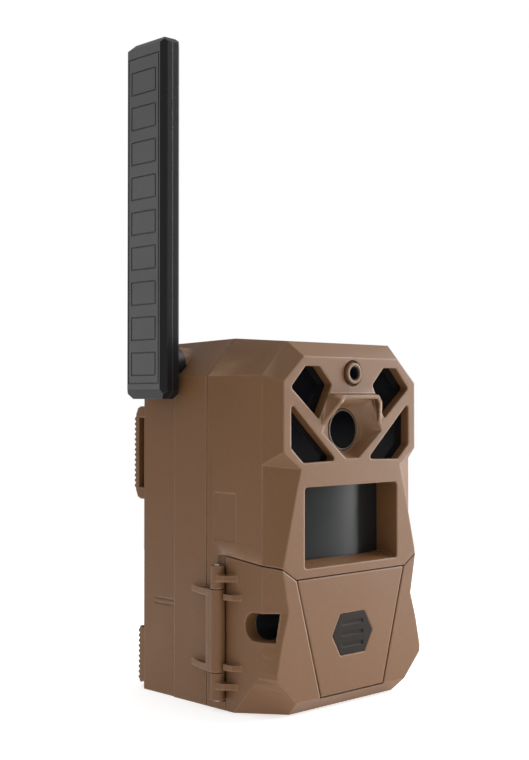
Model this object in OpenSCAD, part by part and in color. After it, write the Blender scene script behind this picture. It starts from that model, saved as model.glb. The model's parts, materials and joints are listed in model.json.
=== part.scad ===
// Trail camera with a folding paddle antenna and a side-hinged battery door.
// Frame: origin at the centre of the underside, +Z up, the lens looks along -Y.
// Inside the modules y is the depth behind the front face, and placed() moves it into the frame.

/* [Body] */
// Width of the case
body_w = 91.6; // [91:0.2:93]
// Depth of the case, front face to back wall
body_d = 85.5; // [85:0.5:87]
// Height of the case at the shell seam
body_h = 154.3; // [154:0.1:156]
// Depth of the seam between the front and rear shells
seam_d = 40.9; // [40.5:0.1:41.5]
// Depth of the slanted border around the front face
bevel_d = 7.5; // [7:0.1:8]
// Wall thickness of the shells
wall = 2.4; // [2.2:0.1:2.6]

/* [Door] */
// Depth of the door
door_d = 28.7; // [28.5:0.1:29]
// Height of the door seam at the middle of the front
door_top = 54.9; // [54.5:0.1:55.2]
// Width of the visible seams
seam_gap = 0.6; // [0.4:0.1:0.7]
// Radius of the door hinge pin
pin_r = 1.25; // [1.2:0.05:1.3]

/* [Sensors] */
// Height of the lens axis
lens_z = 115.3; // [115:0.1:116]
// Height of the light sensor
light_z = 139.1; // [138.8:0.1:139.4]
// Radius of the black cover glass of the lens
lens_r = 8; // [7.8:0.1:8.2]
// Width of the motion sensor window
pir_w = 58; // [57:0.5:58.5]
// Height of the motion sensor window
pir_h = 33.2; // [32.8:0.1:33.4]

/* [Antenna] */
// Height of the antenna's fold axis
fold_z = 143.3; // [143:0.1:143.6]
// Length of the antenna paddle
paddle_l = 154.4; // [120:0.2:170]
// Width of the antenna paddle, front to back
paddle_w = 26.7; // [24:0.1:28]
// Thickness of the antenna paddle
paddle_t = 10.7; // [10:0.1:11.5]

/* [Hidden] */
$fn = 48;

half_w = body_w / 2;
side_cut = 16.4;          // height and width of the 45 degree top side chamfers
front_droop = 2.3;        // how far the top slopes down to the front edge
rear_droop = 1.4;         // and to the back
skin = 0.01;              // thickness of the slices that a hull spans
over = 1;                 // how far a cutter passes through a face
tight = 0.05;             // radial running clearance

brown = "#7d5b43";
dark_brown = "#4b3a30";
black = "#1d1d1f";
steel = "#a9abae";
board_green = "#2d5a3a";

// Front face: the octagonal sensor head and the widening surround below it.
head_top_x = 29.3;
head_top_z = 145.6;
head_side_x = 41;
head_side_top = 135.3;
head_side_bottom = 106.8;
neck_x = 30.8;
neck_z = 99.9;
foot_x = 41.5;
foot_z = 59.8;
corner_x = 33.7;          // where the door seam turns up

pir_top = 92.3;
pir_bottom = pir_top - pir_h;
sill_rise = 2.1;          // how far the sill below the motion sensor window rises toward its lens

hinge_x = -48;
hinge_d = 31.6;
knuckle_r = 3;
knuckle_gap = 0.4;
hinge_z = [4.6, 16, 49.8, 59.6];   // ends of the lower, middle and upper knuckles

latch_x = 49.1;
latch_d = 36.5;
latch_z = [15, 18, 48, 51];        // ends of the ears and of the lever between them

lock_z = [30.8, 42.3];             // cable-lock tunnel: bottom and top
lock_d = [2.4, 17.6];              // and its front and round back
liner_x = 39.5;                    // half length of its liner

fold_d = 68.4;
hub_r = 8;
shaft_r = 4;
paddle_x = -58;
paddle_foot = 15;                  // how far the paddle reaches below its fold axis
fold_face = -40.5;                 // plane where the hub turns on the case boss

panel_x = [23.4, 39.6];            // control panel: sides
panel_z = [6, 51.8];               // and ends
panel_face = 29.6;                 // depth of its front face
tray_x = [-37.8, 23];              // battery tray: sides
tray_z = [4.6, 51.6];              // and bottom and top
tray_d = [30, 82.9];               // and its front and back
jack_x = 32;                       // power inlet in the underside
jack_d = 58;
tripod_z = 72;                     // tripod thread in the back
bridge_z = [83.7, 125.1];          // strap bridges on the back: bottom and top
grip_x = [31.5, 42.8];             // grip strips on the back: sides
side_step = 0.6;                   // how far the rear of the side walls is stepped in
button_z = 24;                     // button and lights of the control panel
led_z = [29.4, 33];
cell_r = 7.2;
cell_l = 50.2;
cell_pitch = 14.8;

module placed() { translate([0, -body_d / 2, 0]) children(); }

module both_sides() {
    children();
    mirror([1, 0, 0]) children();
}

// Outline in X and Z, extruded along the depth.
module front_prism(points, d0, d1) {
    translate([0, d1, 0]) rotate([90, 0, 0]) linear_extrude(d1 - d0) polygon(points);
}

// Outline in depth and Z, extruded along X.
module side_prism(points, x0, x1) {
    translate([x0, 0, 0]) rotate([90, 0, 90]) linear_extrude(x1 - x0) polygon(points);
}

// Outline in X and depth, extruded along Z.
module plan_prism(points, z0, z1) {
    translate([0, 0, z0]) linear_extrude(z1 - z0) polygon(points);
}

module block(low, high) { translate(low) cube(high - low); }

module rod_x(r, x0, x1, d, z) { translate([x0, d, z]) rotate([0, 90, 0]) cylinder(r = r, h = x1 - x0); }

module rod_y(r, d0, d1, x, z) { translate([x, d0, z]) rotate([-90, 0, 0]) cylinder(r = r, h = d1 - d0); }

module rod_z(r, z0, z1, x, d) { translate([x, d, z0]) cylinder(r = r, h = z1 - z0); }

function mirrored(points) = concat(points,
    [for (i = [len(points) - 1 : -1 : 0]) [-points[i][0], points[i][1]]]);

// Case outline seen from the front, drawn in by inset.
function case_outline(inset, bottom = 0) = mirrored([
    [half_w - inset, bottom + inset],
    [half_w - inset, body_h - side_cut - 0.4 * inset],
    [half_w - side_cut - 0.4 * inset, body_h - inset]]);

// Case outline seen from the side: the top slopes a little both ways from the seam.
function side_outline(inset, d0, d1) = [
    [d0, inset], [d1, inset],
    [d1, body_h - (d1 > body_d - 4 ? 4 : rear_droop) - inset],
    [min(body_d - 3, d1), body_h - rear_droop - inset],
    [seam_d, body_h - inset],
    [max(bevel_d, d0), body_h - front_droop - inset],
    [d0, body_h - front_droop - inset]];

module case_block(inset, d0, d1) {
    intersection() {
        front_prism(case_outline(inset), d0, d1);
        side_prism(side_outline(inset, d0, d1), -body_w, body_w);
    }
}

// Octagonal sensor head, widening from the front face back to the case sides.
module head_block() {
    back_z = body_h - front_droop;
    hull() {
        front_prism(mirrored([[neck_x, neck_z], [head_side_x, head_side_bottom],
            [head_side_x, head_side_top], [head_top_x, head_top_z]]), 0, skin);
        front_prism(mirrored([[neck_x + 4, neck_z - 6], [half_w, head_side_bottom - 5],
            [half_w, body_h - side_cut], [half_w - side_cut + front_droop, back_z]]),
            bevel_d - skin, bevel_d);
    }
}

// Sections of the front below the head: [height, half width at the front, depth of the front,
// depth of the side edge].
front_knots = [
    [0, 32, 6, 24],
    [5.9, corner_x, 0, 18.9],
    [16.3, 44.2, 0, 9.9],
    [19.1, 44.4, 0, bevel_d],
    [31.9, 41.5, 0, bevel_d],
    [42.9, 38, 0, bevel_d],
    [foot_z, foot_x, 0, bevel_d],
    [pir_top - 2, corner_x, 0, bevel_d],
    [neck_z + 2, neck_x - 0.6, 0, bevel_d]];
knot_steps = 4;           // rows between two sections, so that the twisted facets shade smoothly

front_rows = [
    for (i = [0 : len(front_knots) - 2]) for (k = [0 : knot_steps - 1])
        front_knots[i] + (front_knots[i + 1] - front_knots[i]) * k / knot_steps,
    front_knots[len(front_knots) - 1]];

function row_points(row, back) = [
    [-half_w, back, row[0]], [-half_w, row[3], row[0]], [-row[1], row[2], row[0]],
    [row[1], row[2], row[0]], [half_w, row[3], row[0]], [half_w, back, row[0]]];

// Closed solid of the front between the underside and the head, reaching back to depth back.
module front_loft(back) {
    n = len(front_rows);
    polyhedron(
        points = [for (row = front_rows) each row_points(row, back)],
        faces = concat(
            [[for (j = [0 : 5]) j]],
            [[for (j = [5 : -1 : 0]) (n - 1) * 6 + j]],
            [for (i = [0 : n - 2]) for (j = [0 : 5]) each [
                [i * 6 + j, (i + 1) * 6 + j, i * 6 + (j + 1) % 6],
                [(i + 1) * 6 + j, (i + 1) * 6 + (j + 1) % 6, i * 6 + (j + 1) % 6]]]));
}

// Space that belongs to the door: flat over the middle, rising over the sides. On the hinge side the
// rise goes all the way back, and on the free side it is only a thin wing, so that the door swings clear.
module door_zone(extra) {
    far = half_w + 9;
    wing_t = 1.6;
    rise = [[corner_x, -over, door_top], [corner_x, door_d, door_top],
        [foot_x, -over, foot_z], [far, -over, 60.6], [half_w, bevel_d, 60.9], [far, bevel_d, 60.9],
        [half_w, door_d, 63.3], [far, door_d, 63.3]];
    block([-corner_x - skin, -over, -over], [far, door_d + extra, door_top + extra]);
    mirror([1, 0, 0]) hull() {
        for (p = rise)
            translate([p[0], p[1] + (p[1] == door_d ? extra - skin : 0), -over])
                cube([skin, skin, p[2] + over + extra]);
    }
    intersection() {
        front_prism([[corner_x, door_top - over], [corner_x, door_top + extra],
            [foot_x, foot_z + extra], [far, 61 + extra], [far, door_top - over]], -over, bevel_d + extra);
        plan_prism([[corner_x - over, -over], [corner_x - over, wing_t + extra],
            [foot_x - 0.8, wing_t + extra], [half_w - wing_t, bevel_d + extra], [far, bevel_d + extra],
            [far, -over]], door_top - 2 * over, foot_z + 5);
    }
}

// Rounded corners for the window outlines.
module rounded_prism(points, r, d0, d1) {
    translate([0, d1, 0]) rotate([90, 0, 0]) linear_extrude(d1 - d0)
        offset(r = r, $fn = 24) offset(delta = -r) polygon(points);
}

window_d = 4.2;           // how far the infrared windows lie behind the front face
light_r = 3.1;            // opening of the light sensor
upper_window = [[28.4, 141.8], [20, 141.8], [12.6, 134.3], [20.4, 119.6], [37, 133]];
lower_window = [[35.9, 126.2], [36.8, 124.5], [36.8, 108.4], [29.6, 102.1], [9.4, 102.6]];

// Screws that join the shells: [x, z] on one side.
case_screw_places = [[36, 130], [38.5, 60.6]];

// Cable-lock tunnel seen from the side, grown by extra.
module lock_slot(extra, x, front = lock_d[0]) {
    middle = (lock_z[0] + lock_z[1]) / 2;
    r = (lock_z[1] - lock_z[0]) / 2;
    block([-x, front - extra, lock_z[0] - extra], [x, lock_d[1] - r, lock_z[1] + extra]);
    rod_x(r + extra, -x, x, lock_d[1] - r, middle);
}

// Outline of the recess around the lens, in front and below the hood.
lens_recess = mirrored([[4, 103.3], [18.6, 114.6], [17.4, 117.2], [11.6, 127.8]]);

// Visor over the lens: it stands out most at its top and runs back into the face at its foot.
module hood(inset, reach) {
    hull() {
        front_prism(mirrored([[18.6 - inset, 117.5 - inset], [15.4 - inset, 129.2 - inset],
            [13.8 - inset, 130.8 - inset]]), -skin, skin);
        front_prism(mirrored([[13.4 - inset, 126.8 - inset], [11.4 - inset, 129.8 - inset]]),
            -reach, skin - reach);
    }
}

module front_openings() {
    both_sides() {
        rounded_prism(upper_window, 1.2, -over, 8);
        rounded_prism(lower_window, 1.2, -over, 8);
    }
    hull() {
        front_prism(lens_recess, -skin, 0.5);
        rod_y(lens_r + 1.6, 5.6 - skin, 5.6, 0, lens_z);
    }
    rod_y(lens_r + 1.2, 5, 12, 0, lens_z);
    rod_y(5.6, -over, 1.6, 0, light_z);
    rod_y(light_r, -over, 8, 0, light_z);
    intersection() {
        union() {
            rounded_prism([[-pir_w / 2, pir_bottom], [pir_w / 2, pir_bottom],
                [pir_w / 2, pir_top], [-pir_w / 2, pir_top]], 1.6, -over, 4);
            block([-pir_w / 2, 3, pir_bottom], [pir_w / 2, 20, pir_top]);
        }
        side_prism([[-over, pir_bottom], [0, pir_bottom], [9, pir_bottom + sill_rise],
            [21, pir_bottom + sill_rise], [21, pir_top], [-over, pir_top]], -pir_w, pir_w);
    }
}

module front_case() {
    color(brown) placed() difference() {
        union() {
            difference() {
                union() {
                    head_block();
                    front_loft(bevel_d + 2);
                    case_block(0, bevel_d, seam_d - seam_gap / 2);
                }
                front_prism(mirrored([[35, 64], [33, 88], [33, 100], [39.6, 108],
                    [39.6, 134.6], [28.6, 143]]), 5, 11);
                front_prism(concat([[33, 61]], [[33, 67]], case_outline(wall, 64), [[-33, 67], [-33, 61]]),
                    10.5, seam_d + over);
                door_zone(seam_gap);
                front_prism(mirrored([[39.6, 4.2], [39.6, 52.4]]), door_d - over, seam_d + over);
                seal_ring(0.05, door_d, door_d + 1.6);
                rod_z(knuckle_r + 0.5, hinge_z[0] - 0.9, hinge_z[3] + 4.2, hinge_x, hinge_d);
            }
            difference() {
                hood(0, 5);
                hood(1.5, 5.6);
            }
            block([-pir_w / 2 - 2, 3, pir_bottom - 1.9], [pir_w / 2 + 2, 16, pir_top + 1.9]);
            rod_y(lens_r + 3, 3, 9, 0, lens_z);
            both_sides() for (p = case_screw_places) {
                rod_y(3.4, 30, 45, p[0], p[1]);
                block([p[0], 31, p[1] - 1], [half_w - 1, 40, p[1] + 1]);
            }
            latch_ears();
        }
        front_openings();
        both_sides() block([half_w - 0.25, 23, 69.4], [half_w + over, 36, 89.4]);
        both_sides() for (p = case_screw_places) rod_y(1.25, 32, 46, p[0], p[1]);
        rod_z(pin_r, latch_z[0] - over, latch_z[3] + over, latch_x, latch_d);
    }
}

module latch_ears() {
    ear = [[half_w - 0.5, latch_d - 4], [latch_x, latch_d - 2.8], [latch_x, latch_d + 2.8],
        [half_w - 0.5, seam_d - 0.4]];
    for (z = [[latch_z[0], latch_z[1] - 0.3], [latch_z[2] + 0.3, latch_z[3]]]) {
        plan_prism(ear, z[0], z[1]);
        rod_z(2.8, z[0], z[1], latch_x, latch_d);
    }
}

module rear_case() {
    back_plan = mirrored([[half_w, seam_d], [half_w, body_d - 2.5], [half_w - 2.5, body_d]]);
    color(brown) placed() difference() {
        union() {
            difference() {
                intersection() {
                    case_block(0, seam_d + seam_gap / 2, body_d);
                    plan_prism(back_plan, -over, body_h + over);
                }
                case_block(wall, seam_d - over, body_d - wall);
                both_sides()
                    block([half_w - side_step, 62.2, -over], [half_w + over, body_d + over, body_h]);
            }
            hinge_arms();
            rod_x(7.6, fold_face, -28, fold_d, fold_z);
            both_sides() for (p = case_screw_places) rod_y(3.8, 45, body_d - wall / 2, p[0], p[1]);
            rod_y(6, body_d - 11, body_d - wall / 2, 0, tripod_z);
            both_sides() strap_bridge();
            block([jack_x - 7, jack_d - 8, wall / 2], [jack_x + 7, jack_d + 8, 11]);
        }
        rod_x(hub_r + 1, -half_w - over, fold_face, fold_d, fold_z);
        rod_x(shaft_r + tight, fold_face - over, -27, fold_d, fold_z);
        rod_x(5.8, fold_face - over, fold_face + 1.5, fold_d, fold_z);
        both_sides() for (p = case_screw_places) {
            rod_y(2.9, 47, body_d + over, p[0], p[1]);
            rod_y(1.6, 44, 48, p[0], p[1]);
        }
        rod_y(4.2, body_d - 10, body_d + over, 0, tripod_z);
        rod_z(pin_r, hinge_z[1] - over, hinge_z[2] + over, hinge_x, hinge_d);
        for (z = [38.6, 40.8]) block([-half_w - over, 63, z], [side_step + 0.4 - half_w, 76, z + 0.9]);
        block([jack_x - 6, jack_d - 6, -over], [jack_x + 6, jack_d + 6, 1.4]);
        rod_z(3.6, 1, 12, jack_x, jack_d);
    }
}

// Barrel that carries the hinge pin, on two arms that reach forward from the rear shell.
module hinge_arms() {
    clear_x = -half_w - 0.2;
    arm = [[clear_x, 33], [-50.4, 33], [-50.4, 34.2], [-49.4, 41], [-half_w + 0.5, 52],
        [-half_w + 0.5, seam_d + seam_gap], [clear_x, seam_d + seam_gap]];
    spine = [[clear_x, 31], [-50.9, 30.4], [-50.6, 34.6], [-49.6, 37.4], [clear_x, 40.2]];
    rod_z(knuckle_r + 0.2, hinge_z[1], hinge_z[2], hinge_x, hinge_d);
    plan_prism(spine, hinge_z[1], hinge_z[2]);
    for (z = [hinge_z[1], hinge_z[2] - 2.8]) plan_prism(arm, z, z + 2.8);
}

// One strap bridge: a bar that stands off the back wall on two feet.
module strap_bridge() {
    low = bridge_z[0];
    high = bridge_z[1];
    back = body_d + 6;
    difference() {
        side_prism([[body_d - 0.5, low], [back - 3, low], [back - 0.9, low + 0.9], [back, low + 3],
            [back, high - 3], [back - 0.9, high - 0.9], [back - 3, high], [body_d - 0.5, high]], 31, 43.3);
        block([30, body_d - over, low + 5], [44, back - 1.5, high - 5]);
    }
}

module case_seal() {
    color(black) placed() difference() {
        front_prism(case_outline(0.6), seam_d - seam_gap / 2, seam_d + seam_gap / 2);
        front_prism(case_outline(wall), seam_d - over, seam_d + over);
    }
}

module case_screws() {
    color(steel) placed() both_sides() for (p = case_screw_places) difference() {
        union() {
            rod_y(1.2, 33, 47.5, p[0], p[1]);
            rod_y(2.5, 47, 49.2, p[0], p[1]);
        }
        rod_y(1.1, 48, 50, p[0], p[1]);
    }
}

// Trapezium in the middle of the door, drawn in by inset.
function panel_outline(inset) = mirrored([[19.8 - inset, 5.4 + inset], [33.7 - inset, door_top + 0.1]]);

module door_hinge() {
    lug = [[hinge_x - knuckle_r, hinge_d], [-50.2, 26], [-half_w + 0.5, 21.5], [-half_w + 0.5, door_d],
        [-46.4, door_d], [-46.4, hinge_d]];
    rib = [[-half_w + 0.5, 19], [-49, 22.5], [-49, 27.2], [-half_w + 0.5, 27.2]];
    for (z = [[hinge_z[0], hinge_z[1] - knuckle_gap], [hinge_z[2] + knuckle_gap, hinge_z[3]]])
        rod_z(knuckle_r, z[0], z[1], hinge_x, hinge_d);
    for (z = [9.4, 53.4]) plan_prism(lug, z, z + 2.6);
    for (z = [17.4, 46]) plan_prism(rib, z, z + 2.4);
}

module door() {
    color(brown) placed() difference() {
        union() {
            difference() {
                intersection() {
                    front_loft(door_d);
                    door_zone(0);
                }
                front_prism(mirrored([[31, 8.4], [36, 13], [36, 52.2]]), 2.6, 9.5);
                front_prism([[30, 3], [41, 14], [43.2, 20], [43.2, 52.2], [-33, 52.2], [-40.6, 56.6],
                    [-43.2, 58.2], [-43.2, 20], [-41, 14], [-30, 3]], 9, door_d + over);
                front_prism(mirrored([[39, 3], [43.2, 9.5], [43.2, 21]]), 19, door_d + over);
            }
            both_sides() intersection() {
                lock_slot(1.5, 43.6, 10);
                block([liner_x, 0, 0], [half_w, door_d, door_top]);
            }
            door_hinge();
        }
        lock_slot(0, body_w);
        front_prism(panel_outline(0), -over, 1.6);
        rod_z(pin_r + tight, hinge_z[0] - over, hinge_z[3] + over, hinge_x, hinge_d);
    }
}

// Liner of the cable-lock tunnel: open to the front, where the door's own skin closes it.
module lock_liner() {
    color(black) placed() difference() {
        union() {
            lock_slot(1.5, 35.9, 4.2);
            intersection() {
                lock_slot(1.5, liner_x, 10.7);
                block([-liner_x, 9.2, 0], [liner_x, door_d, door_top]);
            }
        }
        lock_slot(0, body_w, 2);
    }
}

module door_panel() {
    color(brown) placed() difference() {
        front_prism(panel_outline(0.75), 0, 1.6);
        badge_plate(0.1, -over);
    }
}

// Elongated hexagon plate, grown by extra.
module badge_plate(extra, d0) {
    w = 12.4 + extra;
    h = 8.6 + extra;
    z = 30;
    points = [[-w, z], [-w + 5, z - h], [w - 5, z - h], [w, z], [w - 5, z + h], [-w + 5, z + h]];
    front_prism(points, d0, 0.9);
}

module door_badge() {
    color(dark_brown) placed() difference() {
        badge_plate(0, 0.1);
        for (z = [25.4, 30, 34.6]) block([-6.5, -over, z - 0.8], [6.5, 0.45, z + 0.8]);
    }
}

// Ring around the battery compartment, grown by extra.
module seal_ring(extra, d0, d1) {
    difference() {
        front_prism(mirrored([[44.5 + extra, 1 - extra], [44.5 + extra, 54.2 + extra]]), d0, d1);
        front_prism(mirrored([[43.3 - extra, 2.2 + extra], [43.3 - extra, 53 - extra]]),
            d0 - over, d1 + over);
    }
}

module door_seal() { color(black) placed() seal_ring(0, door_d + 0.2, door_d + 1.5); }

module hinge_pin() {
    color(steel) placed() rod_z(pin_r, hinge_z[0] - 0.6, hinge_z[3] + 0.6, hinge_x, hinge_d);
}

module latch_lever() {
    color(brown) placed() difference() {
        union() {
            rod_z(2.8, latch_z[1], latch_z[2], latch_x, latch_d);
            plan_prism([[latch_x - 2.8, latch_d], [latch_x - 2.8, 22], [latch_x - 2.2, 20.6],
                [latch_x + 2.2, 19.4], [latch_x + 2.6, 21.2], [latch_x, 24], [latch_x + 0.4, latch_d]],
                latch_z[1], latch_z[2]);
            for (d = [26 : 1.8 : 34])
                block([latch_x, d, latch_z[1] + 5], [latch_x + 0.7, d + 0.9, latch_z[2] - 5]);
        }
        rod_z(pin_r + tight, latch_z[1] - over, latch_z[2] + over, latch_x, latch_d);
    }
}

module latch_pin() {
    color(steel) placed() rod_z(pin_r, latch_z[0], latch_z[3], latch_x, latch_d);
}

module ir_windows() {
    color(black) placed() both_sides() {
        rounded_prism(upper_window, 1.2, window_d, 5);
        rounded_prism(lower_window, 1.2, window_d, 5);
    }
}

module ir_led_board() {
    color(board_green) placed() difference() {
        front_prism(mirrored([[28, 101.5], [38.5, 108.5], [38.5, 134], [28, 142]]), 17, 18.6);
        rod_y(lens_r + 4, 16, 20, 0, lens_z);
    }
}

module ir_leds() {
    places = [[22, 137], [28, 131], [30, 137], [22, 128], [31, 119], [31, 111], [24, 108], [25, 114.5]];
    color(black) placed() both_sides() for (p = places) {
        rod_y(2.4, 13.4, 17, p[0], p[1]);
        translate([p[0], 13.4, p[1]]) sphere(r = 2.4);
    }
}

module lens_window() { color(black) placed() rod_y(lens_r, 5.8, 7, 0, lens_z); }

module lens_bezel() {
    color(steel) placed() difference() {
        rod_y(lens_r + 1.1, 5.4, 7.6, 0, lens_z);
        rod_y(lens_r, 5, 8, 0, lens_z);
    }
}

module lens_barrel() {
    color(black) placed() difference() {
        union() {
            rod_y(7.4, 7.8, 13, 0, lens_z);
            rod_y(6.4, 13, 22.9, 0, lens_z);
            for (d = [13.6 : 1.4 : 20]) rod_y(6.9, d, d + 0.8, 0, lens_z);
        }
        rod_y(5.2, 7, 11, 0, lens_z);
        rod_y(3.4, 10, 25, 0, lens_z);
    }
}

module image_sensor() {
    color(board_green) placed() {
        block([-11, 24.4, lens_z - 10], [11, 26, lens_z + 10]);
        block([-3, 23, lens_z - 3], [3, 24.4, lens_z + 3]);
    }
}

module light_sensor_bezel() {
    color(brown) placed() difference() {
        rod_y(4.5, -1.3, 1.6, 0, light_z);
        rod_y(light_r, -2, 3, 0, light_z);
    }
}

module light_sensor() {
    color(black) placed() {
        difference() {
            rod_y(light_r - tight, -0.9, 9, 0, light_z);
            rod_y(light_r - 0.4, -2, 7.4, 0, light_z);
        }
        translate([0, 7.4, light_z]) sphere(r = 1.8);
    }
}

module pir_lens() {
    lens_curve = 150;     // radius of its bow
    lens_d = 9;           // depth of its middle
    color("#35383a") placed() intersection() {
        difference() {
            rod_z(lens_curve, pir_bottom, pir_top, 0, lens_d + lens_curve);
            rod_z(lens_curve - 1.2, pir_bottom - over, pir_top + over, 0, lens_d + lens_curve);
        }
        block([-pir_w / 2, 5, pir_bottom + sill_rise], [pir_w / 2, 17, pir_top]);
    }
}

module pir_sensor() {
    z = (pir_bottom + pir_top) / 2;
    color(steel) placed() {
        block([-8, 27.6, z - 9], [8, 29.2, z + 9]);
        rod_y(4.6, 23.2, 27.6, 0, z);
        rod_y(5.1, 26.8, 27.6, 0, z);
        for (x = [-11, 11]) block([x - 2.4, 27.6, z - 8], [x + 2.4, 29.2, z + 8]);
    }
}

board_screw_places = [[34, 74], [27, 139]];

module main_board() {
    color(board_green) placed() difference() {
        union() {
            front_prism(mirrored([[40, 70], [40, 124], [31, 127.4], [28, 146]]), 33, 34.6);
            for (p = [[-20, 120], [16, 88], [20, 126]])
                block([p[0] - 6, 31.8, p[1] - 5], [p[0] + 6, 33, p[1] + 5]);
            block([-8, 34.6, 92], [14, 37, 108]);
        }
        both_sides() for (p = board_screw_places) rod_y(1.6, 30, 36, p[0], p[1]);
    }
}

module modem_module() {
    color(steel) placed() {
        block([-29, 34.6, 111], [-9, 37, 135]);
        block([-28, 37, 112], [-10, 37.6, 134]);
    }
}

module board_screws() {
    color(steel) placed() both_sides() for (p = board_screw_places) {
        rod_y(1.5, 30, 34.6, p[0], p[1]);
        rod_y(2.6, 34.6, 36.4, p[0], p[1]);
    }
}

// Control panel beside the battery tray, seen when the door is open.
panel_mid = (panel_x[0] + panel_x[1]) / 2;

module control_panel() {
    color(black) placed() difference() {
        block([panel_x[0], panel_face, panel_z[0]], [37.8, panel_face + 2, panel_z[1]]);
        block([panel_mid - 1.6, panel_face - over, 9.4], [panel_mid + 1.6, panel_face + 3, 18.6]);
        rod_y(2.6, panel_face - over, panel_face + 3, panel_mid, button_z);
        for (z = led_z) rod_y(1.05, panel_face - over, panel_face + 3, panel_mid, z);
        block([panel_mid - 1.9, panel_face - over, 36.2], [panel_mid + 1.5, panel_face + 3, 50.6]);
    }
}

module control_board() {
    color(board_green) placed() block([panel_x[0] + 0.8, 38, 7], [37.6, 39.6, 51.6]);
}

module power_switch() {
    color(steel) placed() {
        block([panel_mid - 1.4, panel_face - 1.8, 9.8], [panel_mid + 1.4, panel_face + 4.2, 13]);
        block([panel_mid - 3, panel_face + 2.3, 9.4], [panel_mid + 3, panel_face + 4.2, 13.4]);
    }
}

module mode_button() {
    color("#b9bcbe") placed() {
        rod_y(2.3, panel_face - 0.9, panel_face + 4.6, panel_mid, button_z);
        rod_y(3.4, panel_face + 3.4, panel_face + 4.6, panel_mid, button_z);
    }
}

module status_leds() {
    color("#d8e4d8") placed() for (z = led_z) rod_y(1, panel_face - 0.2, 38, panel_mid, z);
}

// A micro memory card stands upright in its socket.
module sd_socket() {
    color(steel) placed() difference() {
        block([panel_mid - 2.6, panel_face + 2.2, 35.4], [panel_mid + 2.2, 37.9, 51.6]);
        block([panel_mid - 1.2, panel_face, 37.2], [panel_mid + 0.8, 37, 49.8]);
    }
}

module sd_card() {
    color("#26282b") placed() {
        block([panel_mid - 0.6, panel_face - 3.4, 37.8], [panel_mid + 0.1, 36, 49.2]);
        block([panel_mid + 0.1, panel_face - 3.4, 37.8], [panel_mid + 0.35, panel_face - 2.6, 49.2]);
    }
}

cell_x = [for (i = [0 : 3]) tray_x[0] + 0.8 + cell_pitch * (i + 0.5)];
cell_z = [for (i = [0 : 2]) tray_z[0] + 1.3 + cell_pitch * (i + 0.5)];

module battery_tray() {
    color(black) placed() difference() {
        block([tray_x[0], tray_d[0], tray_z[0]], [tray_x[1], tray_d[1], tray_z[1]]);
        block([tray_x[0] - over, tray_d[0] + 1.4, cell_z[2]],
            [tray_x[1] + over, tray_d[1] - 1.2, tray_z[1] + over]);
        for (x = cell_x) for (z = cell_z) rod_y(cell_r + 0.1, tray_d[0] + 1.4, tray_d[1] - 1.2, x, z);
        for (z = [12, 46.5]) block([-22, tray_d[0] - over, z - 2], [5, tray_d[0] + 0.6, z + 2]);
    }
}

module battery_cells() {
    color("#8d9093") placed() for (x = cell_x) for (z = cell_z) {
        rod_y(cell_r, tray_d[0] + 1.4, tray_d[0] + cell_l, x, z);
        rod_y(2.6, tray_d[0] + cell_l, tray_d[0] + cell_l + 1, x, z);
    }
}

module battery_contacts() {
    color(steel) placed() for (x = cell_x) for (z = cell_z)
        rod_y(3.4, tray_d[0] + cell_l + 1, tray_d[1] - 1.2, x, z);
}

module tray_pull() {
    x = (tray_x[0] + tray_x[1]) / 2;
    color(dark_brown) placed() difference() {
        block([x - 11, tray_d[0] - 5, 24], [x + 11, tray_d[0], 34]);
        block([x - 8, tray_d[0] - 3.8, 20], [x + 8, tray_d[0] + over, 38]);
    }
}

module tripod_insert() {
    color("#c2a15a") placed() difference() {
        union() {
            rod_y(4.2, body_d - 9.6, body_d - 0.4, 0, tripod_z);
            for (d = [2, 5]) rod_y(4.2, body_d - d - 1.6, body_d - d, 0, tripod_z);
        }
        rod_y(2.55, body_d - 11, body_d + over, 0, tripod_z);
    }
}

// Serrated grip strip on the back: z runs from low to high, base at depth d.
module grip(low, high, d) {
    tooth = 2.3;
    count = floor((high - low - 2) / tooth);
    start = (low + high - count * tooth) / 2;
    side_prism(concat([[d, low], [d + 1, low]],
        [for (i = [0 : count - 1]) each [
            [d + 1.2, start + i * tooth], [d + 2.4, start + (i + 0.5) * tooth]]],
        [[d + 1.2, start + count * tooth], [d + 1, high], [d, high]]), grip_x[0], grip_x[1]);
}

module tree_grips() {
    color(brown) placed() both_sides() {
        grip(bridge_z[0] + 3, bridge_z[1] - 3, body_d + 6);
        difference() {
            union() {
                grip(1.8, 26.9, body_d + 3);
                block([grip_x[0], body_d, 2.4], [grip_x[1], body_d + 3.05, 26.3]);
            }
            block([grip_x[0] + 2, body_d - over, 4], [grip_x[1] - 2, body_d + 1.4, 24.6]);
        }
    }
}

module dc_jack() {
    color(black) placed() difference() {
        rod_z(3.5, 1.8, 11.4, jack_x, jack_d);
        rod_z(2.6, 1, 10, jack_x, jack_d);
    }
}

module dc_cover() {
    color(black) placed() {
        block([jack_x - 5.6, jack_d - 5.6, 0.2], [jack_x + 5.6, jack_d + 4.2, 1.1]);
        rod_x(0.45, jack_x - 5.6, jack_x + 5.6, jack_d + 4.6, 0.65);
    }
}

// Paddle antenna: chamfered bar, its broad faces look to the sides.
paddle_low = fold_z - paddle_foot;
paddle_high = paddle_low + paddle_l;
paddle_mid_x = paddle_x + paddle_t / 2;
paddle_front = fold_d - paddle_w / 2;

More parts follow.
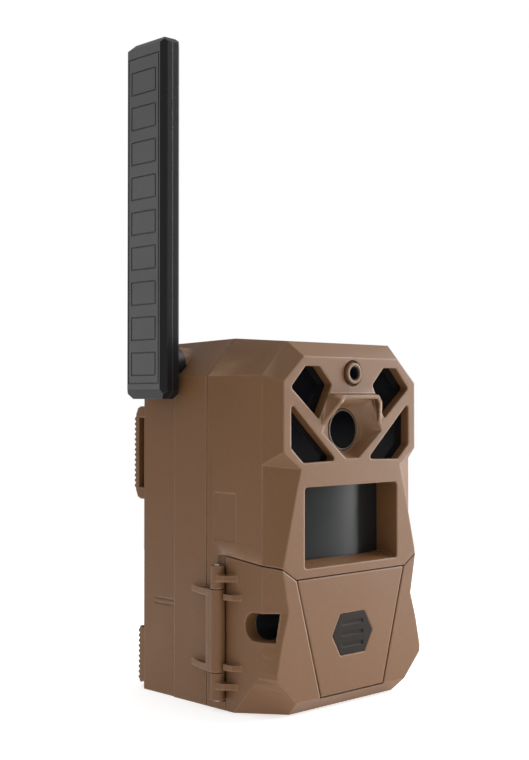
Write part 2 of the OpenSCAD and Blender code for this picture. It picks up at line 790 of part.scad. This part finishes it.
module paddle_block(x0, x1, inset) {
    c = 2.3;
    intersection() {
        plan_prism([[x0 + c, paddle_front + inset], [x0, paddle_front + c + inset],
            [x0, paddle_front + paddle_w - c - inset], [x0 + c, paddle_front + paddle_w - inset],
            [x1 - c, paddle_front + paddle_w - inset], [x1, paddle_front + paddle_w - c - inset],
            [x1, paddle_front + c + inset], [x1 - c, paddle_front + inset]],
            paddle_low + inset, paddle_high - inset);
        side_prism([[paddle_front, paddle_low + 3.4], [paddle_front + 3.4, paddle_low],
            [paddle_front + paddle_w - 3.4, paddle_low], [paddle_front + paddle_w, paddle_low + 3.4],
            [paddle_front + paddle_w, paddle_high - 5], [paddle_front + paddle_w - 5, paddle_high],
            [paddle_front + 2, paddle_high], [paddle_front, paddle_high - 2]], x0 - over, x1 + over);
        front_prism([[x0 + 2.4, paddle_low], [x1 - 2.4, paddle_low], [x1, paddle_low + 4.1],
            [x1, paddle_high - 2.6], [x1 - 2.4, paddle_high], [x0 + 2.4, paddle_high],
            [x0, paddle_high - 2.6], [x0, paddle_low + 4.1]],
            paddle_front - over, paddle_front + paddle_w + over);
    }
}

module paddle_inside() {
    block([paddle_x + 1.8, paddle_front + 2.6, paddle_low + 5],
        [paddle_x + paddle_t - 1.8, paddle_front + paddle_w - 2.6, paddle_high - 6]);
}

module antenna_half(x0, x1) {
    difference() {
        intersection() {
            paddle_block(paddle_x, paddle_x + paddle_t, 0);
            block([x0, 0, 0], [x1, body_d * 2, paddle_high + over]);
        }
        paddle_inside();
    }
}

// Shallow groove around a rectangle on the outer face of the paddle.
module face_groove(d0, d1, z0, z1) {
    g = 0.55;
    difference() {
        block([paddle_x - over, d0, z0], [paddle_x + 0.4, d1, z1]);
        block([paddle_x - 2 * over, d0 + g, z0 + g], [paddle_x + over, d1 - g, z1 - g]);
    }
}

module antenna_shell() {
    pitch = 15.2;
    edge = 4.4;
    d0 = paddle_front + edge;
    d1 = paddle_front + paddle_w - edge;
    color("#3a3a3c") placed() difference() {
        antenna_half(paddle_x, paddle_mid_x);
        face_groove(d0 - 1.5, d1 + 1.5, paddle_low + 6.5, paddle_high - 6.5);
        for (i = [0 : 8]) {
            z = paddle_low + 10 + pitch * i;
            face_groove(d0 + 0.6, d1 - 0.6, z, z + pitch - 5);
        }
    }
}

module antenna_cover() {
    color("#2c2c2e") placed() difference() {
        antenna_half(paddle_mid_x, paddle_x + paddle_t);
        rod_x(shaft_r, paddle_mid_x, paddle_x + paddle_t + over, fold_d, fold_z);
    }
}

module antenna_element() {
    color(board_green) placed()
        block([paddle_mid_x - 0.6, paddle_front + 4, fold_z + 12],
            [paddle_mid_x + 0.6, paddle_front + paddle_w - 4, paddle_high - 8]);
}

module antenna_hub() {
    color(black) placed() {
        rod_x(hub_r, paddle_x + paddle_t, fold_face - 0.3, fold_d, fold_z);
        rod_x(shaft_r, paddle_mid_x + 1, -25, fold_d, fold_z);
    }
}

module antenna_nut() {
    color(steel) placed() difference() {
        rod_x(6.2, -27.6, -25.4, fold_d, fold_z);
        rod_x(shaft_r, -29, -24, fold_d, fold_z);
    }
}

module antenna_oring() {
    color(black) placed() difference() {
        rod_x(5.7, fold_face, fold_face + 1.4, fold_d, fold_z);
        rod_x(shaft_r + 0.3, fold_face - over, fold_face + 2, fold_d, fold_z);
    }
}

front_case();
rear_case();
case_seal();
case_screws();
door();
door_panel();
door_badge();
lock_liner();
door_seal();
hinge_pin();
latch_lever();
latch_pin();
ir_windows();
ir_led_board();
ir_leds();
lens_window();
lens_bezel();
lens_barrel();
image_sensor();
light_sensor_bezel();
light_sensor();
pir_lens();
pir_sensor();
main_board();
modem_module();
board_screws();
control_panel();
control_board();
power_switch();
mode_button();
status_leds();
sd_socket();
sd_card();
battery_tray();
battery_cells();
battery_contacts();
tray_pull();
tripod_insert();
tree_grips();
dc_jack();
dc_cover();
antenna_shell();
antenna_cover();
antenna_element();
antenna_hub();
antenna_nut();
antenna_oring();
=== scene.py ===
"""Looks of the trail camera: materials, edge rounding, studio and camera."""
import json
import math

import bmesh
import bpy
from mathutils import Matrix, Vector

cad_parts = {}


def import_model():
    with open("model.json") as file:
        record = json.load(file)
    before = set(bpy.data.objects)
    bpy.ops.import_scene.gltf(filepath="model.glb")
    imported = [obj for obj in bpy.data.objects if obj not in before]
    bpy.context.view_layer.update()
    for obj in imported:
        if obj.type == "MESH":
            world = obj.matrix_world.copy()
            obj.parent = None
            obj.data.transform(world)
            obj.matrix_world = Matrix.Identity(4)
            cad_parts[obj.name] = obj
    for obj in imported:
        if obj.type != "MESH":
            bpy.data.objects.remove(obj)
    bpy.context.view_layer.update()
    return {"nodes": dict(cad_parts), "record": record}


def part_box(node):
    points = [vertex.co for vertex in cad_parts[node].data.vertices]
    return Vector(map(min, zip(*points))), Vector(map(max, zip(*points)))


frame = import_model()
nodes = frame["nodes"]

MM = 0.001
WHITE = (1.0, 1.0, 1.0, 1.0)


# ---------------------------------------------------------------- shader helpers

class Nodes:
    """Short calls for building a node tree."""

    def __init__(self, tree):
        self.tree = tree

    def add(self, kind, **settings):
        node = self.tree.nodes.new(kind)
        for key, value in settings.items():
            setattr(node, key, value)
        return node

    def link(self, start, end):
        self.tree.links.new(start, end)

    def feed(self, socket, value):
        """Links an output to the socket, or sets the socket to a number or a colour."""
        if isinstance(value, bpy.types.NodeSocket):
            self.link(value, socket)
        else:
            socket.default_value = (*value, 1.0) if isinstance(value, tuple) else value

    def span(self, value, low, high, start=0.0, end=1.0, **settings):
        """Maps start..end to low..high and holds the ends."""
        node = self.add("ShaderNodeMapRange", **settings)
        for socket, number in zip(node.inputs, (value, start, end, low, high)):
            self.feed(socket, number)
        return node.outputs[0]

    def math(self, operation, a, b=0.0):
        node = self.add("ShaderNodeMath", operation=operation)
        self.feed(node.inputs[0], a)
        self.feed(node.inputs[1], b)
        return node.outputs[0]

    def mix(self, factor, a, b):
        """A colour between a and b. A Mix node has its colour sockets at 6 and 7, and the result at 2."""
        node = self.add("ShaderNodeMix", data_type="RGBA")
        for index, value in ((0, factor), (6, a), (7, b)):
            self.feed(node.inputs[index], value)
        return node.outputs[2]


class Shader(Nodes):
    """A material. Scales of noise are in waves per metre, depths of bumps and radii in metres."""

    def __init__(self, name):
        self.material = bpy.data.materials.new(name)
        self.material.use_nodes = True
        super().__init__(self.material.node_tree)
        self.tree.nodes.clear()
        self.bsdf = self.add("ShaderNodeBsdfPrincipled")
        output = self.add("ShaderNodeOutputMaterial")
        self.link(self.bsdf.outputs[0], output.inputs[0])
        self.place = self.add("ShaderNodeTexCoord").outputs["Object"]

    def set(self, **values):
        for key, value in values.items():
            self.bsdf.inputs[key.replace("_", " ")].default_value = value

    def colour(self, value):
        self.link(value, self.bsdf.inputs["Base Color"])

    def roughness(self, value):
        self.link(value, self.bsdf.inputs["Roughness"])

    def noise(self, scale, detail=4.0, roughness=0.55, place=None):
        node = self.add("ShaderNodeTexNoise")
        node.inputs["Scale"].default_value = scale
        node.inputs["Detail"].default_value = detail
        node.inputs["Roughness"].default_value = roughness
        self.link(place or self.place, node.inputs["Vector"])
        return node.outputs["Fac"]

    def stretch(self, x, y, z):
        node = self.add("ShaderNodeMapping")
        node.inputs["Scale"].default_value = (x, y, z)
        self.link(self.place, node.inputs["Vector"])
        return node.outputs[0]

    def bump(self, height, distance, strength=1.0):
        """Chains a bump under any bump that is there already."""
        node = self.add("ShaderNodeBump")
        node.inputs["Strength"].default_value = strength
        node.inputs["Distance"].default_value = distance
        self.link(height, node.inputs["Height"])
        normal = self.bsdf.inputs["Normal"]
        if normal.is_linked:
            self.link(normal.links[0].from_socket, node.inputs["Normal"])
        self.link(node.outputs[0], normal)

    def soften_edges(self, radius):
        """Shades every edge as if it were rounded, and gives a mask: 1 along the edges, 0 on the flats."""
        soft = self.add("ShaderNodeBevel", samples=6)
        soft.inputs["Radius"].default_value = radius
        self.link(soft.outputs[0], self.bsdf.inputs["Normal"])
        flat = self.add("ShaderNodeNewGeometry")
        turn = self.add("ShaderNodeVectorMath", operation="DOT_PRODUCT")
        self.link(soft.outputs[0], turn.inputs[0])
        self.link(flat.outputs["True Normal"], turn.inputs[1])
        return self.span(turn.outputs["Value"], 1.0, 0.0, 0.88, 0.99)


def tint(colour, factor, lift=0.0):
    return tuple(c * factor + lift for c in colour)


# ---------------------------------------------------------------- materials

def moulded_plastic(name, base, speck_and_highlight_colour, rough=(0.42, 0.54), specular=0.3, edge_mm=0.5):
    """Spark-eroded moulded plastic: fine grain, slow colour drift, pale specks, and edges painted a little
    lighter as a painted highlight.
    """
    s = Shader(name)
    drift = s.span(s.noise(14.0, 3.0), 0.0, 1.0, 0.3, 0.7)
    specks = s.span(s.noise(900.0, 2.0), 0.0, 0.08, 0.55, 0.8)
    # painted highlight: edges lightened toward the pale colour, standing in for light caught on rounded
    # edges
    painted_edge_highlight = s.math("MULTIPLY", s.soften_edges(edge_mm * MM), s.span(s.noise(120.0), 0.35, 0.6, 0.35, 0.65))
    colour = s.mix(drift, base, tint(base, 1.06))
    colour = s.mix(specks, colour, speck_and_highlight_colour)
    s.colour(s.mix(painted_edge_highlight, colour, speck_and_highlight_colour))
    s.roughness(s.span(s.noise(60.0, 6.0), *rough, 0.3, 0.7))
    s.bump(s.noise(2600.0, 2.0, 0.6), 0.05 * MM, 0.5)
    s.bump(s.noise(700.0, 3.0), 0.04 * MM, 0.35)
    s.set(Specular_IOR_Level=specular)
    return s.material


def paddle_plastic(name, bevels, face_grey_and_sheen):
    """Black plastic whose two broad faces, square to X, are a paler matt grey between polished bevels. The
    paler grey is partly painted sheen, and the edges carry a painted highlight.
    """
    s = Shader(name)
    normal = s.add("ShaderNodeSeparateXYZ")
    s.link(s.add("ShaderNodeTexCoord").outputs["Normal"], normal.inputs[0])
    broad = s.span(s.math("ABSOLUTE", normal.outputs["X"]), 0.0, 1.0, 0.93, 0.985)
    # the paler grey of the broad faces is partly painted sheen of the bright surroundings
    grey = s.mix(s.span(s.noise(30.0), 0.0, 1.0, 0.3, 0.7), face_grey_and_sheen, tint(face_grey_and_sheen, 1.12))
    # painted highlight: edges lightened toward a pale grey
    painted_edge_highlight = s.math("MULTIPLY", s.soften_edges(0.4 * MM), s.span(s.noise(120.0), 0.3, 0.5, 0.35, 0.65))
    s.colour(s.mix(painted_edge_highlight, s.mix(broad, bevels, grey), tint(face_grey_and_sheen, 1.7)))
    s.roughness(s.math("ADD", s.span(broad, 0.27, 0.46), s.span(s.noise(90.0, 5.0), 0.0, 0.06)))
    s.bump(s.noise(2400.0, 2.0, 0.6), 0.05 * MM, 0.4)
    s.set(Specular_IOR_Level=0.25)
    return s.material


def polished_plastic(name, base, rough):
    s = Shader(name)
    s.colour(s.mix(s.noise(40.0), base, tint(base, 1.25)))
    s.roughness(s.span(s.noise(150.0, 6.0), rough, rough + 0.05, 0.35, 0.7))
    s.bump(s.noise(9.0, 1.0), 0.2 * MM, 0.05)
    return s.material


def clear_coat_black(name, base, rough):
    """Deep black acrylic or coated glass, with faint polishing marks."""
    s = Shader(name)
    s.colour(s.mix(s.noise(30.0), base, tint(base, 1.4, 0.001)))
    s.roughness(s.span(s.noise(400.0, 5.0), rough, rough + 0.04, 0.4, 0.75))
    s.bump(s.noise(12.0, 1.0), 0.1 * MM, 0.03)
    s.set(IOR=1.49, Specular_IOR_Level=0.2)
    return s.material


def ribbed_lens(name, base):
    """Dark polythene motion lens with fine vertical ribs."""
    s = Shader(name)
    s.colour(s.mix(s.noise(60.0), base, tint(base, 1.3)))
    ribs = s.add("ShaderNodeTexWave", wave_type="BANDS", bands_direction="X")
    ribs.inputs["Scale"].default_value = 320.0
    s.link(s.place, ribs.inputs["Vector"])
    s.bump(ribs.outputs["Fac"], 0.02 * MM, 0.25)
    s.roughness(s.span(s.noise(200.0, 4.0), 0.30, 0.34, 0.35, 0.7))
    s.set(Specular_IOR_Level=0.26)
    return s.material


def rubber(name, base):
    s = Shader(name)
    s.colour(s.mix(s.noise(80.0), base, tint(base, 1.6)))
    s.roughness(s.span(s.noise(300.0, 4.0), 0.6, 0.75, 0.3, 0.7))
    s.bump(s.noise(1800.0, 2.0), 0.04 * MM, 0.4)
    return s.material


def metal(name, base, rough):
    """Drawn metal with fine brushing, its lines square to Z."""
    s = Shader(name)
    brushed = s.noise(500.0, 4.0, 0.6, s.stretch(1, 1, 12))
    s.colour(s.mix(brushed, base, tint(base, 0.8)))
    s.roughness(s.span(brushed, rough, rough + 0.14, 0.3, 0.7))
    s.bump(brushed, 0.02 * MM, 0.3)
    s.set(Metallic=1.0)
    return s.material


def circuit_board(name, base):
    """Solder mask with the faint relief of copper tracks."""
    s = Shader(name)
    tracks = s.add("ShaderNodeTexBrick", offset=0.5)
    tracks.inputs["Scale"].default_value = 380.0
    tracks.inputs["Mortar Size"].default_value = 0.06
    s.link(s.stretch(1, 1, 0.2), tracks.inputs["Vector"])
    colour = s.mix(tracks.outputs["Fac"], base, tint(base, 0.6))
    s.colour(s.mix(s.noise(90.0), colour, tint(base, 1.3)))
    s.roughness(s.span(s.noise(200.0), 0.3, 0.42, 0.3, 0.7))
    s.bump(tracks.outputs["Fac"], 0.03 * MM, 0.4)
    return s.material


def banded_cell(name, sleeve, band):
    """Plain battery sleeve: dark, with a lighter band over its rearmost 14 mm."""
    s = Shader(name)
    split = s.add("ShaderNodeSeparateXYZ")
    s.link(s.place, split.inputs[0])
    low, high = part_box("battery_cells")
    banded = s.math("GREATER_THAN", split.outputs["Y"], high[1] - 14 * MM)
    s.colour(s.mix(banded, sleeve, band))
    s.roughness(s.span(s.noise(120.0), 0.28, 0.4, 0.3, 0.7))
    s.bump(s.noise(60.0, 2.0), 0.03 * MM, 0.2)
    s.set(Metallic=0.6)
    return s.material


def clear_pipe(name, cloudy, clear):
    """Slightly cloudy clear plastic."""
    s = Shader(name)
    s.colour(s.mix(s.noise(70.0), cloudy, clear))
    s.roughness(s.span(s.noise(200.0), 0.12, 0.2, 0.3, 0.7))
    s.set(IOR=1.49, Transmission_Weight=0.6)
    return s.material


MATERIALS = {
    # the second colour of each moulded_plastic is its speck colour and its painted edge-highlight colour
    "brown_shell": moulded_plastic(
        "brown_shell", (0.160, 0.075, 0.030), (0.40, 0.26, 0.165), specular=0.35, edge_mm=1.1),
    "dark_inlay": moulded_plastic(
        "dark_inlay", (0.012, 0.008, 0.006), (0.05, 0.035, 0.026), (0.5, 0.6), specular=0.15),
    "lens_ring": moulded_plastic("lens_ring", (0.075, 0.042, 0.024), (0.16, 0.10, 0.065), (0.4, 0.5)),
    "black_plastic": moulded_plastic(
        "black_plastic", (0.014, 0.014, 0.015), (0.035, 0.035, 0.037), (0.4, 0.52)),
    "key_grey": moulded_plastic("key_grey", (0.42, 0.43, 0.44), (0.55, 0.56, 0.57), (0.42, 0.52)),
    "antenna_plastic": paddle_plastic("antenna_plastic", (0.009, 0.009, 0.010), (0.108, 0.108, 0.109)),
    "card_black": polished_plastic("card_black", (0.02, 0.02, 0.023), 0.3),
    "ir_acrylic": clear_coat_black("ir_acrylic", (0.003, 0.003, 0.004), 0.06),
    "lens_glass": clear_coat_black("lens_glass", (0.002, 0.002, 0.003), 0.03),
    "pir_film": ribbed_lens("pir_film", (0.009, 0.010, 0.010)),
    "seal_rubber": rubber("seal_rubber", (0.010, 0.010, 0.010)),
    "steel": metal("steel", (0.62, 0.62, 0.63), 0.26),
    "brass": metal("brass", (0.72, 0.50, 0.22), 0.24),
    "circuit_board": circuit_board("circuit_board", (0.012, 0.10, 0.045)),
    "cell_metal": banded_cell("cell_metal", (0.03, 0.035, 0.04), (0.55, 0.36, 0.16)),
    "light_pipe": clear_pipe("light_pipe", (0.72, 0.85, 0.74), (0.8, 0.9, 0.8)),
}


def dress(obj, material):
    obj.data.materials.clear()
    obj.data.materials.append(material)


# The lock_liner piece is a dark sleeve in the lock tunnel that stands in for the shade inside it: painted
# shade.
for part in frame["record"]["subparts"]:
    dress(nodes[part["node"]], MATERIALS[part["material_slot"]])


# ---------------------------------------------------------------- edge rounding

WELD_GAP = 0.01 * MM
SHARP_EDGE = math.radians(24)


def round_edges(obj, width):
    """Joins the triangles at their corners, then rounds every edge sharper than SHARP_EDGE."""
    weld = obj.modifiers.new("weld", "WELD")
    weld.merge_threshold = WELD_GAP
    bevel = obj.modifiers.new("bevel", "BEVEL")
    bevel.width = width
    bevel.segments = 3
    bevel.limit_method = "ANGLE"
    bevel.angle_limit = SHARP_EDGE
    bevel.miter_outer = "MITER_ARC"
    normals = obj.modifiers.new("normals", "WEIGHTED_NORMAL")
    normals.keep_sharp = False
    normals.weight = 100


EDGE_WIDTHS_MM = {
    "front_case": 0.7, "rear_case": 0.6, "door": 0.45, "door_panel": 0.3, "latch_lever": 0.35,
    "door_badge": 0.15, "tree_grips": 0.2, "antenna_shell": 0.15, "antenna_cover": 0.15,
    "light_sensor_bezel": 0.35, "battery_tray": 0.3, "control_panel": 0.2, "tray_pull": 0.4,
    "power_switch": 0.2, "mode_button": 0.3, "sd_socket": 0.15, "lens_bezel": 0.15,
    "case_screws": 0.15, "antenna_hub": 0.4, "dc_cover": 0.2, "tripod_insert": 0.15,
    "battery_cells": 0.3, "hinge_pin": 0.25, "latch_pin": 0.2, "door_seal": 0.3, "lock_liner": 0.3,
}

for name, width_mm in EDGE_WIDTHS_MM.items():
    round_edges(nodes[name], width_mm * MM)


# ---------------------------------------------------------------- studio and camera

CENTRE = (0.0, 0.0, 0.1)             # what the light aims at
FLOOR_REACH = 0.45
AMBIENT = 0.58                       # brightness of the surroundings
OVERHEAD = 1.1                       # brightness straight above
FRONT_MIRROR = (0.70, -0.71, 0.0)    # where the flat front's reflections come from
PATCH_DARK = 0.01                    # brightness of the dark patch there, above the horizon
PATCH_LOW = 0.5                      # and below it
KEY_AZIMUTH = 69
KEY_ELEVATION = 16
KEY_DISTANCE = 1.1
KEY_SIZE = (0.6, 1.2)
KEY_POWER = 21.5
CAMERA_YAW = math.radians(44.015)
CAMERA_PITCH = math.radians(0.977)
CAMERA_PLACE = (-0.3933, -0.39635, 0.1273)
FOCAL_MM = 59.21


def camera():
    data = bpy.data.cameras.new("camera")
    data.lens = FOCAL_MM
    data.sensor_width = 36.0
    data.clip_start = 0.01
    view = bpy.data.objects.new("camera", data)
    view.location = CAMERA_PLACE
    view.rotation_euler = (math.pi / 2 + CAMERA_PITCH, 0.0, -CAMERA_YAW)
    bpy.context.scene.collection.objects.link(view)
    bpy.context.scene.camera = view


def floor():
    """A small white sheet that catches the shadow under the object."""
    mesh = bmesh.new()
    corners = ((-1, -1), (1, -1), (1, 1), (-1, 1))
    mesh.faces.new([mesh.verts.new((x * FLOOR_REACH, y * FLOOR_REACH, 0.0)) for x, y in corners])
    data = bpy.data.meshes.new("floor")
    mesh.to_mesh(data)
    mesh.free()
    ground = bpy.data.objects.new("floor", data)
    bpy.context.scene.collection.objects.link(ground)
    s = Shader("paper")
    s.colour(s.mix(s.noise(2.0), (0.78, 0.78, 0.78), (0.8, 0.8, 0.8)))
    s.set(Roughness=0.9, Specular_IOR_Level=0.1, Emission_Color=WHITE, Emission_Strength=0.58)
    dress(ground, s.material)


def world():
    """Even pale surroundings, white to the camera, with one dark patch where the flat front mirrors them."""
    sky = bpy.data.worlds.new("studio")
    sky.use_nodes = True
    n = Nodes(sky.node_tree)
    direction = n.add("ShaderNodeTexCoord").outputs["Generated"]
    split = n.add("ShaderNodeSeparateXYZ")
    n.link(direction, split.inputs[0])
    height = split.outputs["Z"]
    toward = n.add("ShaderNodeVectorMath", operation="DOT_PRODUCT")
    toward.inputs[1].default_value = FRONT_MIRROR
    n.link(direction, toward.inputs[0])
    patch = n.span(height, PATCH_LOW, PATCH_DARK, -0.045, -0.015)
    level = n.span(toward.outputs["Value"], AMBIENT, patch, 0.80, 0.96, interpolation_type="SMOOTHSTEP")
    level = n.math("MULTIPLY", level, n.span(height, 0.4, 1.0, -0.25, 0.05))
    level = n.math("MAXIMUM", level, n.span(height, 0.0, OVERHEAD, 0.45, 0.95))
    level = n.math("MAXIMUM", level, n.add("ShaderNodeLightPath").outputs["Is Camera Ray"])
    background = sky.node_tree.nodes["Background"]
    background.inputs["Color"].default_value = WHITE
    n.link(level, background.inputs["Strength"])
    bpy.context.scene.world = sky


def around(azimuth, elevation, distance):
    """A place seen from the centre: azimuth in degrees to the right of the object's front axis."""
    a, e = math.radians(azimuth), math.radians(elevation)
    direction = Vector((math.cos(e) * math.sin(a), -math.cos(e) * math.cos(a), math.sin(e)))
    return Vector(CENTRE) + distance * direction


def softbox(name, place, size, power):
    data = bpy.data.lights.new(name, "AREA")
    data.shape = "RECTANGLE"
    data.size, data.size_y = size
    data.energy = power
    light = bpy.data.objects.new(name, data)
    bpy.context.scene.collection.objects.link(light)
    light.location = place
    light.rotation_euler = (Vector(CENTRE) - place).to_track_quat("-Z", "Y").to_euler()


camera()
floor()
world()
softbox("key", around(KEY_AZIMUTH, KEY_ELEVATION, KEY_DISTANCE), KEY_SIZE, KEY_POWER)
bpy.context.scene.view_settings.view_transform = "Standard"
